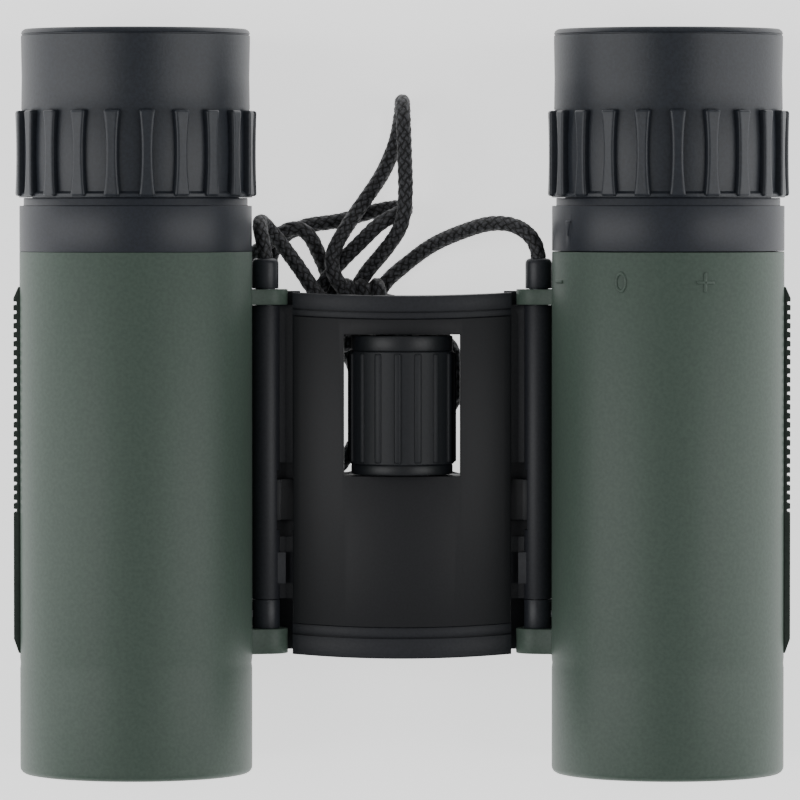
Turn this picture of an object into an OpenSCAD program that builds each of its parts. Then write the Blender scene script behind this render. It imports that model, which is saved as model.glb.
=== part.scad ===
// Compact folding binoculars with a double hinge, lying open on their two barrels.
// Sizes are in millimetres. X runs across the pair, Y runs from the objectives to the
// eyepieces and Z points up. The surface that the pair lies on is z = 0.

/* [Barrels] */
// Distance between the two barrel axes, fully open
axis_spacing = 75.6; // [72:0.2:84]
// Outer radius of a barrel's shell
barrel_r = 16.5; // [16:0.1:18]
// Wall of a barrel's shell
barrel_wall = 1.6; // [1.3:0.1:2]
// Length of a barrel's shell
barrel_len = 74.1; // [72:0.1:86]
// Rounding of the shell's front edge
front_round = 0.9; // [0.3:0.1:1]
// Thickness of the side grip
grip_proud = 0.9; // [0.5:0.1:1.4]
// Length of the side grip
grip_len = 52; // [44:0.5:54]
// Number of grooves across the side grip
grip_grooves = 24; // [12:1:28]

/* [Hinges] */
// Drop of the hinge axes below the barrel axes
hinge_drop = 4; // [2:0.1:5]
// Angle that a barrel folds through, from open to closed
fold_angle = 80; // [60:1:80]
// Outer radius of the bridge's hinge tubes
tube_r = 2.05; // [2:0.05:2.6]
// Length of a hinge, from the upper ear's top to the lower ear's end
hinge_len = 51.95; // [50:0.1:56]
// Distance from the shell's rear edge to the upper ear
ear_setback = 5.4; // [5.2:0.1:8]
// Radius of an ear's round end
ear_r = 3.2; // [3:0.1:4]
// Length of the upper ear
upper_ear = 2.2; // [1.8:0.1:3]
// Length of the lower ear
lower_ear = 3.55; // [2.5:0.05:4.5]
// Length of the bush between the lower ear and the hinge tube
bush_len = 4.1; // [4:0.1:6]
// Radius of the strap post on top of each hinge
post_r = 1.9; // [1.8:0.05:2.4]
// Length of the strap post
post_len = 4.3; // [4:0.05:6]

/* [Bridge] */
// Rise of the bridge's arched top above the hinge axes
arch_rise = 4.8; // [4:0.1:5]
// Drop of the arch from its top to the bridge's sides
arch_drop = 3.556; // [2:0.1:3.8]
// Depth of the bridge below the hinge axes
bridge_depth = 4.8; // [4.4:0.1:5.2]
// Thickness of the arched cover plate
plate_t = 1.2; // [0.8:0.1:1.5]
// Thickness of the underside cover
cover_t = 1; // [0.8:0.1:1.4]
// Length of the bar at the bridge's eyepiece end
upper_bar = 2.15; // [1.6:0.05:2.6]
// Length of the bar at the bridge's objective end
lower_bar = 2.8; // [2:0.1:4]
// Bow of the bridge's end edges, seen from above
end_bow = 0.45; // [0.1:0.05:0.8]
// Gap between the wheel and each side of its window
window_gap = 0.55; // [0.35:0.05:1.2]

/* [Focus] */
// Outer radius of the focus wheel over its ribs
wheel_r = 7.75; // [7:0.05:7.9]
// Length of the focus wheel with its collars
wheel_len = 19.75; // [16:0.05:21]
// Number of ribs on the focus wheel
wheel_ribs = 16; // [9:1:20]
// Radius of the focus screw
screw_r = 1.6; // [1.2:0.1:2]
// Radius of a focus rod
rod_r = 0.85; // [0.8:0.05:0.9]
// Focus travel to each side of the middle
focus_travel = 1.2; // [0.6:0.1:1.2]

/* [Eyepieces] */
// Length of the eyepiece ring, which is the dioptre ring on the right
ring_len = 6.5; // [5:0.1:9]
// Length of the neck between the ring and the eyecup
neck_len = 1.1; // [0.8:0.1:2]
// Length of an eyecup
cup_len = 23.9; // [22:0.1:28]
// Outer radius of an eyecup, without its ribs
cup_r = 16.25; // [15.8:0.05:17]
// Height of an eyecup's ribs
cup_rib_h = 0.95; // [0.5:0.05:1.2]
// Length of an eyecup's ribs
cup_rib_len = 12.1; // [8:0.1:13]
// Number of ribs round an eyecup
cup_ribs = 21; // [12:1:24]

/* [Optics] */
// Wall of the cells that hold the objective lenses
cell_wall = 2.3; // [1.8:0.1:3]
// Radius of the eyepiece lenses
ocular_r = 7.6; // [6:0.1:8]
// Side of the beam's square entry face on the prisms
prism_face = 11; // [9:0.2:11]

/* [Strap] */
// Diameter of the strap cord
cord_d = 2.1; // [1.8:0.05:2.15]
// Turns of the spare cord in each layer of its hank
hank_turns = 4; // [3:1:4]

/* [Hidden] */
$fn = 96;
// Clearances: a running fit, a free gap between moving pieces and a small end gap
run_gap = 0.05;
free_gap = 0.2;
end_gap = 0.1;

// Colours
green = "#4d5b52";
dark_green = "#37433c";
black = "#26282b";
rubber = "#2f3338";
steel = "#8f9499";
glass = "#a9c4cf";

// Stations along Y, from the objective end to the eyepiece end
y_front = -(barrel_len + ring_len + neck_len + cup_len) / 2;
y_back = y_front + barrel_len;
y_ring = y_back + ring_len;
y_neck = y_ring + neck_len;
y_cup = y_neck + cup_len;
y_ear1 = y_back - ear_setback;
y_ear0 = y_ear1 - upper_ear;
y_low0 = y_ear1 - hinge_len;
y_low1 = y_low0 + lower_ear;
y_bush = y_low1 + bush_len;
y_tube0 = y_bush + end_gap;
y_tube1 = y_ear0 - end_gap;

// Barrel and hinge axes. The arm joins a barrel's axis to its hinge's.
axis_x = axis_spacing / 2;
axis_z = max(cup_r + cup_rib_h, barrel_r);
arm = barrel_r + tube_r + 0.18;
arm_deg = asin(hinge_drop / arm);
hinge_x = axis_x - arm * cos(arm_deg);
hinge_z = axis_z - hinge_drop;
bore_r = barrel_r - barrel_wall;
ear_root = arm - barrel_r + 1.2;

// Hinge fits, from the focus rod outwards
sleeve_in = rod_r + run_gap;
sleeve_r = sleeve_in + 0.5;
pivot_r = sleeve_r + run_gap;
socket_y = y_ear1 + 2.3;
post_tip = y_ear1 + end_gap + post_len;
strap_y = post_tip - 1.7;

// Side grip: it covers the barrel's outer side between two angles below the horizontal
grip_out = barrel_r + grip_proud;
grip_degs = [-7, 49];
grip_y1 = y_back - 5;
grip_y0 = grip_y1 - grip_len;
groove_pitch = 1.28;
groove_w = 0.5;
groove_deep = 0.45;

// Bridge
bridge_x = hinge_x - ear_r - 0.7;
bow_r = (bridge_x * bridge_x + end_bow * end_bow) / (2 * end_bow);
y_top = y_ear1 - 0.5;
y_bottom = y_low0 - 0.1;
ledge = 1.15;
ledge_deep = 0.5;
seam_w = 0.2;
seam_deep = 0.9;
y_plate1 = y_top - upper_bar - ledge;
y_plate0 = y_bottom + lower_bar + ledge + 0.5;
arch_z = hinge_z + arch_rise;
arch_r = (bridge_x * bridge_x + arch_drop * arch_drop) / (2 * arch_drop);
arch_c = arch_z - arch_r;
under_z = hinge_z - bridge_depth;
y_win1 = y_top - 5.9;
y_win0 = y_win1 - wheel_len - 2 * free_gap;
window_x = wheel_r + window_gap;
chamber_x = bridge_x - 1.5;
chamber_y0 = y_plate0 + 2.6;
wall_y = y_win0 - 2;
web_low = bridge_depth - 0.2;
flange_top = ear_r + 0.25;
web_top = 1.65;
web_high = 0.6;
screw_head_r = 1.5;
screw_head_h = 0.6;
screw_shank_r = 0.8;
screw_x = bridge_x - 3.6;
screw_ys = [y_bottom + 4.4, y_top - 2.8];

// Focus drive. The yoke's beam carries the nut, and its arms reach the rods.
wheel_y1 = y_win1 - free_gap;
wheel_y0 = y_win0 + free_gap;
collar_r = wheel_r - 0.5;
core_r = wheel_r - 1.15;
collar_front = 1.45;
collar_rear = 2.2;
wheel_rib_w = 0.85;
wheel_rib_h = 0.3;
beam_len = 5;
beam_y1 = wall_y - focus_travel - free_gap;
beam_y0 = beam_y1 - beam_len;
arm_len = 5.8;
arm_y1 = y_win0 - 0.6;
arm_y0 = arm_y1 - arm_len;
arm_in = window_x + 1.3;
arm_z0 = hinge_z - 1.4;
arm_z1 = hinge_z - 0.35;
boss_w = 2;
boss_z1 = hinge_z + 1;
nut_x = 4.5;
nut_h = 5.6;
pocket_y0 = arm_y0 - focus_travel - free_gap;
pocket_y1 = arm_y1 + focus_travel + free_gap;
pocket_z = [arm_z0 - 0.2, boss_z1 + 0.2];
tongue_t = 0.9;
tongue_w = 1.2;
tongue_y = (y_low1 + y_bush) / 2;
groove_r = rod_r - 0.4;
slot_len = tongue_t + 2 * focus_travel + 0.2;
slot_w = tongue_w + 0.3;
rod_y0 = tongue_y - 1.7;
rod_y1 = arm_y1 + 0.6;

// Objectives
y_bezel = y_front + 0.9;
bezel_len = 2.3;
y_cell = y_bezel + bezel_len + focus_travel + 1.7;
cell_len = 8.2;
cell_r = bore_r - 0.1;
objective_r = cell_r - cell_wall;
lens_y = y_cell + 1.3;
crown_t = 2.4;
flint_t = 2.2;
seat_lip = 1.2;
bar_out = 0.5;
bar_t = 1.8;
bar_w = 5;

// Prism cage, which stands in the barrel behind the hinge's upper ear
prism_w = prism_face;
half_k = prism_face * sin(112.5) / sin(22.5) * cos(45);
roof_u = half_k + 0.2;
cage_t = 1.5;
cage_y1 = y_back - 12.6;
cage_len = roof_u + 2 * cage_t + 2.5;
cheek_t = 1.4;
cheek_h = 22;
prism_y = cage_y1 - cage_len + cage_t + end_gap;
prism_gap = 0.3;
roof_v = roof_u - prism_face / 2 - prism_gap * sqrt(2);
roof_l = roof_v + prism_face / 2;

// Eyepieces
plug_y0 = y_back - 4.8;
seat_r = cup_r - 1.65;
seat_t = 1.3;
tube_bore = ocular_r + 1.6;
tube_out = tube_bore + 1.2;
hub_r = tube_out + run_gap;
hub_t = 1.3;
hub_end = y_back + 13;
tube_end = y_cup - 9.6;
cap_y = y_cup - 6.3;
cap_t = 1.3;
cell_y0 = y_back + 2.7;
cell_y1 = tube_end - 0.9;
pin_y = y_back + 5;
pin_r = 0.8;
pin_end = hub_r + 0.7;
pin_back = 0.12;
pin_forth = 0.81;
index_deg = -60.5;

// Strap: the spare cord lies in two layers in a flat hank under the bridge
cord_r = cord_d / 2;
tie_t = 0.4;
tie_w = 5;
hank_bend = 4.4;
hank_half = 6;
hank_y = -22.2;
hank_h = 2 * cord_d + 0.1;
hank_w = hank_bend + (hank_turns - 0.5) * cord_d;
knot_at = [-5.4, 14.2, 3.4];
knot_r = 3.3;
knot_half = 1.25;

// The strap's route from the left post to the hank, and from the hank to the right post
left_route = [
    [-19.5, 18.6, 13.2], [-19.6, 21.6, 13.2], [-20.2, 24.2, 12.2], [-20.3, 25.6, 9.8],
    [-19.6, 25, 7.2], [-17.8, 22.9, 6], [-14.6, 18.6, 5.9], [-11.6, 14.4, 6.8],
    [-7.4, 12.2, 6.9], [-2, 11.8, 5.4], [3.2, 10.6, 3], [6.9, 7.6, 1.5],
    [8.3, 3.6, 1.1], [7.6, -0.4, 1.1], [4.8, -3.4, 1.3], [3.4, -6.6, 1.5],
    [4.4, -9.6, 1.5], [6, -11.5, 1.5]
];
right_route = [
    [-13.6, -14.6, 3.6], [-8.4, -9, 2.8], [-5.5, -3.4, 1.3], [-6, 2, 1.1],
    [-8.4, 8.2, 1.1], [-10, 14, 1.05], [-10.9, 18.3, 1.05], [-12.3, 21.4, 2.2],
    [-13.4, 23.7, 3.3], [-15.3, 24.8, 3.4], [-17.4, 23.8, 3.4], [-20.6, 21.5, 2.9],
    [-24.4, 18.2, 1.3], [-26.7, 14.8, 1.1], [-26.4, 11.2, 1.1], [-23.6, 9.1, 1.1],
    [-20.6, 10.4, 1.1], [-19.6, 14, 1.1], [-19.3, 18.6, 1.1], [-18, 22.6, 1.1],
    [-14.6, 24.7, 1.1], [-9, 25.6, 1.1], [-4, 27, 1.1], [-0.6, 27.6, 2.4],
    [0.8, 27.3, 4.6], [-0.4, 26.7, 6.8], [-3, 25.4, 7.1], [-6, 22.5, 5.1],
    [-9, 19.5, 3.3], [-11.6, 16.2, 3.2], [-13.2, 12.4, 3.2], [-12.2, 8.8, 3.2],
    [-9.4, 7.4, 3.2], [-6.6, 8.8, 3.4], [-6.2, 12, 3.9], [-8, 15.2, 4.8],
    [-9.9, 18, 5.5], [-10, 20.8, 5.4], [-8.3, 24.2, 4.4], [-5.7, 28.1, 3],
    [-2.7, 32.6, 1.3], [-0.9, 37, 1.1], [-0.2, 40.4, 1.6], [0, 42.6, 3.8],
    [0.1, 42.6, 6.8], [0.2, 40.2, 9], [0.4, 34.5, 9.6], [0.5, 29.4, 9.6],
    [-0.1, 25, 8.7], [-2.6, 21.2, 6.1], [-5.4, 17.8, 3.4], [-7.3, 13.8, 1.7],
    [-6.9, 10.8, 1.1], [-5.2, 8.5, 1.1], [-2.9, 9, 1.1], [-2.6, 11.8, 1.1],
    [-3.6, 14.2, 1.1], [-2.4, 16.7, 1.2], [0.2, 19, 1.4], [4, 21.9, 2.8],
    [8.5, 24, 6], [13, 25.3, 9.6], [16.4, 24.9, 11.8], [18.8, 23, 13],
    [19.5, 20.8, 13.2], [19.5, 18.6, 13.2]
];

// ---------- Helpers ----------

// Points along an arc about c, from angle a0 to a1
function arc(c, r, a0, a1, n) =
    [for (i = [0:n]) c + r * [cos(a0 + (a1 - a0) * i / n), sin(a0 + (a1 - a0) * i / n)]];

// A lens face as [radius, station] from the axis to the edge at y. It bulges towards -Y by s.
function dome(r, y, s, n = 8) =
    let (c = (r * r + s * s) / (2 * abs(s)))
    [for (i = [0:n]) [r * i / n, y - sign(s) * (sqrt(c * c - pow(r * i / n, 2)) - c + abs(s))]];

function reversed(list) = [for (i = [len(list) - 1:-1:0]) list[i]];

function unit(v) = v / norm(v);

function tangent(route, i) = unit(route[min(i + 1, len(route) - 1)] - route[max(i - 1, 0)]);

// A direction square to the route at each point, carried along without twist
function sideways(route) = [
    for (
        i = 0, u = unit(cross(tangent(route, 0), [0, 0, 1]));
        i < len(route);
        i = i + 1, u = unit(u - (u * tangent(route, min(i, len(route) - 1)))
            * tangent(route, min(i, len(route) - 1)))
    ) u
];

// A solid of revolution about Y from an outline of [radius, station along Y]
module spun(outline) {
    rotate([-90, 0, 0]) rotate_extrude() polygon(outline);
}

// A round bar along Y, with a hole through it if hole is more than 0
module bar(y0, y1, r, hole = 0) {
    translate([0, y0, 0]) rotate([-90, 0, 0]) difference() {
        cylinder(h = y1 - y0, r = r);
        if (hole > 0) translate([0, 0, -1]) cylinder(h = y1 - y0 + 2, r = hole);
    }
}

module block(low, high) {
    translate(low) cube(high - low);
}

// Puts a right-hand piece on the right, or its mirror image on the left
module sided(side) {
    mirror([side < 0 ? 1 : 0, 0, 0]) children();
}

module at_barrel(side = 1) {
    translate([side * axis_x, 0, axis_z]) children();
}

module at_hinge() {
    translate([hinge_x, 0, hinge_z]) children();
}

// At the right hinge, with +X pointing at the barrel's axis
module to_barrel() {
    at_hinge() rotate([0, -arm_deg, 0]) children();
}

// Outline of the bridge between two bowed edges, seen from above
module bowed(y0, y1, half) {
    difference() {
        intersection() {
            translate([-half, y0 - 2 * end_bow]) square([2 * half, y1 - y0 + 2 * end_bow]);
            translate([0, y0 - end_bow + bow_r]) circle(bow_r);
        }
        translate([0, y1 - end_bow + bow_r]) circle(bow_r);
    }
}

// The part of a bowed outline that stands higher than drop below the arch
module above_arch(y0, y1, half, drop) {
    difference() {
        translate([0, 0, arch_z - arch_r]) linear_extrude(arch_r + 1) bowed(y0, y1, half);
        translate([0, 0, arch_c]) bar(y0 - 5, y1 + 5, arch_r - drop);
    }
}

// ---------- Barrels ----------

module ear(y0, len) {
    translate([0, y0, 0]) rotate([-90, 0, 0]) linear_extrude(len) union() {
        circle(ear_r);
        translate([0, -ear_r]) square([ear_root, 2 * ear_r]);
    }
}

module follower_slot(x0, x1) {
    block([x0, tongue_y - slot_len / 2, -slot_w / 2], [x1, tongue_y + slot_len / 2, slot_w / 2]);
}

// A fine shallow line round the shell's front shows how far a cap goes on
module barrel_shell(side) {
    nose = [barrel_r - front_round, y_front + front_round];
    y_line = y_low0 - 1.1;
    color(green) sided(side) difference() {
        union() {
            at_barrel() spun(concat([[0, y_back], [barrel_r, y_back], [barrel_r, y_line + 0.7],
                [barrel_r - 0.08, y_line], [barrel_r, y_line - 0.7]],
                arc(nose, front_round, 0, -90, 4), [[0, y_front]]));
            to_barrel() ear(y_ear0, upper_ear);
            to_barrel() ear(y_low0, lower_ear);
        }
        at_barrel() bar(y_front - 1, y_back + 1, bore_r);
        at_hinge() bar(y_low0 - 1, y_ear1 + 1, pivot_r);
        to_barrel() follower_slot(arm - barrel_r - 0.5, arm - bore_r + 0.5);
    }
}

module side_grip(side) {
    color(dark_green) sided(side) at_barrel() difference() {
        intersection() {
            spun([[barrel_r, grip_y0], [barrel_r + 0.2, grip_y0], [grip_out, grip_y0 + 2],
                [grip_out, grip_y1 - 1.6], [barrel_r + 0.2, grip_y1], [barrel_r, grip_y1]]);
            translate([0, grip_y0 - 1, 0]) rotate([-90, 0, 0]) linear_extrude(grip_len + 2)
                polygon(concat([[0, 0]], [for (a = grip_degs) 30 * [cos(a), sin(a)]]));
        }
        for (i = [1:grip_grooves]) translate([0, grip_y1 - 1.3 - i * groove_pitch, 0])
            bar(0, groove_w, grip_out + 1, grip_out - groove_deep);
    }
}

module hinge_bush(side) {
    color(black) sided(side) to_barrel() difference() {
        bar(y_low1, y_bush, tube_r, pivot_r);
        follower_slot(0.3, tube_r + 1);
    }
}

module objective_bezel(side) {
    y1 = y_bezel + bezel_len;
    color(black) at_barrel(side) spun([[objective_r + 0.8, y_bezel], [bore_r, y_bezel],
        [bore_r, y1], [objective_r - 0.2, y1]]);
}

// ---------- Prisms ----------

// Lays a prism's side outline of [along Y, up] square across the barrel
module prism(outline) {
    translate([-prism_w / 2, prism_y, 0]) rotate([90, 0, 90]) linear_extrude(prism_w)
        polygon(outline);
}

module prism_holder(side) {
    y0 = cage_y1 - cage_len;
    color(black) at_barrel(side) {
        bar(y0, y0 + cage_t, bore_r, prism_face / 2);
        bar(cage_y1 - cage_t, cage_y1, bore_r, prism_face / 2);
        for (s = [-1, 1]) translate([s * (prism_w + cheek_t) / 2, 0, 0])
            block([-cheek_t / 2, y0 + cage_t, -cheek_h / 2],
                [cheek_t / 2, cage_y1 - cage_t, cheek_h / 2]);
    }
}

module half_prism(side) {
    f = prism_face / 2;
    color(glass) at_barrel(side) prism([[0, -f], [half_k, half_k - f], [0, f]]);
}

module roof_prism(side) {
    foot = [roof_u - roof_l / sqrt(2), roof_v - roof_l / sqrt(2)];
    color(glass) at_barrel(side) intersection() {
        prism([foot, [roof_u, roof_v - roof_l], [roof_u, roof_v]]);
        translate([0, prism_y + foot[0], foot[1]]) rotate([-22.5, 0, 0]) rotate([0, -45, 0])
            translate([0, -10, 0]) cube([40, 40, 40]);
    }
}

module prism_clip(side) {
    color(steel) at_barrel(side) translate([0, prism_y, prism_face / 2]) rotate([22.5, 0, 0])
        union() {
            block([-1.5, 2.5, 0.02], [1.5, 17.5, 0.42]);
            block([-prism_w / 2, 8, 0.02], [prism_w / 2, 12, 0.42]);
        }
}

// ---------- Objectives ----------

module objective_cell(side) {
    y1 = y_cell + cell_len;
    seat = lens_y + crown_t + flint_t;
    color(black) at_barrel(side) spun([[objective_r, y_cell], [cell_r, y_cell], [cell_r, y1],
        [objective_r - seat_lip, y1], [objective_r - seat_lip, seat], [objective_r, seat]]);
}

module crown_lens(side) {
    color(glass) at_barrel(side) spun(concat(dome(objective_r, lens_y, 1.4),
        reversed(dome(objective_r, lens_y + crown_t, -0.9))));
}

module flint_lens(side) {
    back = lens_y + crown_t + flint_t;
    color(glass) at_barrel(side) spun(concat(dome(objective_r, lens_y + crown_t, -0.9),
        [[objective_r, back], [0, back]]));
}

module lock_ring(side) {
    color(black) at_barrel(side) spun([[objective_r - 1, y_cell + 0.2],
        [objective_r, y_cell + 0.2], [objective_r, lens_y - 0.25],
        [objective_r - 1, lens_y - 0.25]]);
}

module follower(side) {
    inner = arm - bore_r + bar_out;
    color(steel) sided(side) to_barrel() union() {
        block([inner, y_cell + cell_len, -bar_w / 2],
            [inner + bar_t, tongue_y + tongue_t / 2 + 0.8, bar_w / 2]);
        block([groove_r + 0.1, tongue_y - tongue_t / 2, -tongue_w / 2],
            [inner + bar_t / 2, tongue_y + tongue_t / 2, tongue_w / 2]);
    }
}

// ---------- Eyepieces ----------

module pin_slot() {
    block([-pin_r - run_gap, pin_y - pin_back - pin_r - run_gap, -tube_out - 2],
        [pin_r + run_gap, pin_y + pin_forth + pin_r + run_gap, -tube_bore + 1]);
}

// The tube that plugs into the shell's rear. The right one is slotted for the cam pin.
module eyepiece_tube(side) {
    color(black) at_barrel(side) difference() {
        spun([[tube_bore, plug_y0], [bore_r, plug_y0], [bore_r, y_back], [tube_out, y_back],
            [tube_out, tube_end], [tube_bore, tube_end]]);
        if (side > 0) pin_slot();
    }
}

// The eyepiece ring, which seats the eyecup. On the right it turns and has the cam groove.
module eyepiece_ring(side) {
    y0 = y_back + (side > 0 ? end_gap : 0);
    seat_in = seat_r - seat_t;
    neck_r = barrel_r - 0.6;
    color(rubber) at_barrel(side) difference() {
        union() {
            spun([[hub_r, y0], [barrel_r, y0], [barrel_r, y_ring], [neck_r, y_ring],
                [neck_r, y_neck], [seat_r, y_neck], [seat_r, cap_y], [tube_bore - 0.2, cap_y],
                [tube_bore + 1, cap_y - cap_t], [seat_in, cap_y - cap_t], [seat_in, y0 + 2.5],
                [hub_r + hub_t, y0 + 2.5], [hub_r + hub_t, hub_end], [hub_r, hub_end]]);
            if (side > 0) index_mark();
        }
        if (side > 0) bar(pin_y - pin_back - pin_r - run_gap,
            pin_y + pin_forth + pin_r + run_gap, pin_end + end_gap);
    }
}

// A small raised triangle on the dioptre ring
module index_mark() {
    rotate([0, index_deg, 0]) translate([0, (y_back + y_ring) / 2, barrel_r - 0.5])
        linear_extrude(0.7) polygon([[-0.7, 1.1], [0, -1.1], [0.7, 1.1]]);
}

module cup_rib(len) {
    end = 1.03;
    waist = 0.68;
    right = [[end, 0], [end, 0.9], [waist, 2.6], [waist, len - 2.6], [end, len - 0.9], [end, len]];
    translate([0, y_neck + 0.25, seat_r + 0.5]) linear_extrude(cup_r + cup_rib_h + 1 - seat_r)
        polygon(concat(right, [for (p = reversed(right)) [-p[0], p[1]]]));
}

module eyecup(side) {
    lip_r = 0.75;
    lip_in = cup_r - 1.9;
    phase = side < 0 ? 7.9 : 2.2;
    base_r = cup_r - 0.2;
    y_band = y_neck + cup_rib_len + 0.4;
    outer = concat([[seat_r, y_neck], [cup_r + 0.35, y_neck], [cup_r + 0.35, y_neck + 0.7],
        [base_r, y_neck + 1], [base_r, y_band], [cup_r, y_band]],
        arc([cup_r - lip_r, y_cup - lip_r], lip_r, 0, 90, 4));
    inner = [[lip_in + 0.5, y_cup], [lip_in, y_cup - 0.5], [lip_in, cap_y], [seat_r, cap_y]];
    color(rubber) at_barrel(side) intersection() {
        union() {
            spun(concat(outer, inner));
            for (i = [0:cup_ribs - 1]) rotate([0, phase + i * 360 / cup_ribs, 0])
                cup_rib(cup_rib_len);
        }
        bar(y_neck, y_cup, cup_r + cup_rib_h);
    }
}

module ocular_cell(side) {
    r = tube_bore - run_gap;
    stop_r = ocular_r - 1.4;
    color(black) at_barrel(side) difference() {
        spun([[ocular_r, cell_y0], [r, cell_y0], [r, cell_y1], [ocular_r, cell_y1],
            [ocular_r, cell_y0 + 12.5], [stop_r, cell_y0 + 12.5], [stop_r, cell_y0 + 6],
            [ocular_r, cell_y0 + 6]]);
        if (side > 0) translate([0, pin_y, 0]) rotate([180, 0, 0])
            cylinder(h = tube_bore + 1, r = pin_r);
    }
}

module cam_pin() {
    color(steel) at_barrel() translate([0, pin_y, 0]) rotate([180, 0, 0])
        translate([0, 0, ocular_r + 0.2]) cylinder(h = pin_end - ocular_r - 0.2, r = pin_r);
}

module field_lens(side) {
    y0 = cell_y0 + 3.9;
    color(glass) at_barrel(side) spun(concat(dome(ocular_r, y0, 0.9),
        [[ocular_r, cell_y0 + 6], [0, cell_y0 + 6]]));
}

module eye_lens(side) {
    y0 = cell_y0 + 12.5;
    color(glass) at_barrel(side) spun(concat([[0, y0], [ocular_r, y0]],
        reversed(dome(ocular_r, y0 + 2, -1.3))));
}

module ocular_ring(side) {
    y0 = cell_y0 + 14.8;
    color(black) at_barrel(side) spun([[ocular_r - 0.9, y0], [ocular_r, y0],
        [ocular_r, y0 + 1.4], [ocular_r - 0.3, y0 + 1.4]]);
}

// ---------- Bridge ----------

module wheel_window(z0, z1) {
    block([-window_x, y_win0, z0], [window_x, y_win1, z1]);
}

module arm_pocket() {
    block([arm_in - 0.3, pocket_y0, pocket_z[0]], [hinge_x, pocket_y1, pocket_z[1]]);
}

// A web between the frame and a hinge tube, up to a height against the hinge axis
module hinge_web(y0, y1, top) {
    block([bridge_x - 1, y0, hinge_z - web_low], [hinge_x - 1, y1, hinge_z + top]);
}

module bridge_frame() {
    under_x = bridge_x - 0.8;
    color(black) difference() {
        union() {
            intersection() {
                translate([0, 0, under_z]) linear_extrude(arch_z - under_z)
                    bowed(y_bottom, y_top, bridge_x);
                translate([0, 0, arch_c]) bar(y_bottom - 2, y_top + 2, arch_r);
            }
            for (side = [-1, 1]) sided(side) {
                at_hinge() bar(y_tube0, y_tube1, tube_r);
                hinge_web(y_low0 + 0.3, y_ear1 - 0.3, -flange_top);
                hinge_web(y_tube0, y_tube1, -web_top);
                hinge_web(y_tube0, pocket_y0 - 1, -web_high);
                hinge_web(y_tube0 + 2.2, pocket_y0 - 3.2, 1);
                hinge_web(pocket_y1 + 1, y_tube1, -web_high);
            }
        }
        above_arch(y_plate0 - end_gap, y_plate1 + end_gap, bridge_x + 1, plate_t);
        above_arch(y_plate1, y_top - upper_bar, bridge_x + 1, ledge_deep);
        above_arch(y_bottom + lower_bar, y_plate0, bridge_x + 1, ledge_deep);
        above_arch(y_top - upper_bar - seam_w, y_top - upper_bar, bridge_x + 1, seam_deep);
        above_arch(y_bottom + lower_bar, y_bottom + lower_bar + seam_w, bridge_x + 1, seam_deep);
        wheel_window(under_z - 1, arch_z + 1);
        block([-chamber_x, chamber_y0, under_z - 1], [chamber_x, wall_y, arch_z + 1]);
        block([-under_x - end_gap, y_bottom + 1.2, under_z - 1],
            [under_x + end_gap, y_top - 1.2, under_z + cover_t]);
        for (side = [-1, 1]) sided(side) {
            at_hinge() bar(y_tube0 - 1, y_tube1 + 1, sleeve_r);
            arm_pocket();
        }
        translate([0, 0, hinge_z]) bar(wall_y - 1, y_win1 + 3.6, screw_r + run_gap);
        for (x = [-screw_x, screw_x], y = screw_ys) translate([x, y, under_z])
            cylinder(h = 5, r = screw_shank_r);
    }
}

module cover_plate() {
    color(black) difference() {
        intersection() {
            translate([0, 0, under_z]) linear_extrude(arch_z - under_z)
                bowed(y_plate0, y_plate1, bridge_x - 0.1);
            translate([0, 0, arch_c]) bar(y_plate0 - 2, y_plate1 + 2, arch_r, arch_r - plate_t);
        }
        wheel_window(under_z, arch_z + 1);
    }
}

module underside_cover() {
    under_x = bridge_x - 0.8;
    color(black) difference() {
        block([-under_x, y_bottom + 1.3, under_z], [under_x, y_top - 1.3, under_z + cover_t]);
        wheel_window(under_z - 1, arch_z);
        for (x = [-screw_x, screw_x], y = screw_ys) translate([x, y, under_z - 1]) {
            cylinder(h = 1 + screw_head_h, r = screw_head_r);
            cylinder(h = 1 + 2 * cover_t, r = screw_shank_r);
        }
    }
}

module cover_screws() {
    color(steel) for (x = [-screw_x, screw_x], y = screw_ys) translate([x, y, under_z]) union() {
        cylinder(h = screw_head_h, r = screw_head_r);
        cylinder(h = 4.6, r = screw_shank_r);
    }
}

// The hollow hinge pin. One window lets the yoke's arm in, the other the follower's tongue.
module hinge_sleeve(side) {
    color(steel) sided(side) at_hinge() difference() {
        bar(y_low0 + 0.2, y_ear1 + 2.2, sleeve_r, sleeve_in);
        block([-3, pocket_y0, pocket_z[0] - hinge_z], [0, pocket_y1, pocket_z[1] - hinge_z]);
        rotate([0, -arm_deg - fold_angle / 2, 0])
            block([-0.15, tongue_y - slot_len / 2, -3], [3, tongue_y + slot_len / 2, 3]);
    }
}

module hinge_post(side) {
    y0 = y_ear1 + end_gap;
    tip_r = 0.7;
    color(black) sided(side) at_hinge() spun(concat([[sleeve_r, y0], [post_r, y0]],
        arc([post_r - tip_r, post_tip - tip_r], tip_r, 0, 90, 4),
        [[cord_r, post_tip], [cord_r, strap_y], [0, strap_y], [0, socket_y],
            [sleeve_r, socket_y]]));
}

// ---------- Focus drive ----------

module wheel_hub() {
    color(black) translate([0, 0, hinge_z]) spun([[screw_r, wheel_y0], [collar_r, wheel_y0],
        [collar_r, wheel_y0 + collar_front], [core_r, wheel_y0 + collar_front],
        [core_r, wheel_y1 - collar_rear], [collar_r, wheel_y1 - collar_rear],
        [collar_r, wheel_y1], [screw_r, wheel_y1]]);
}

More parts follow.
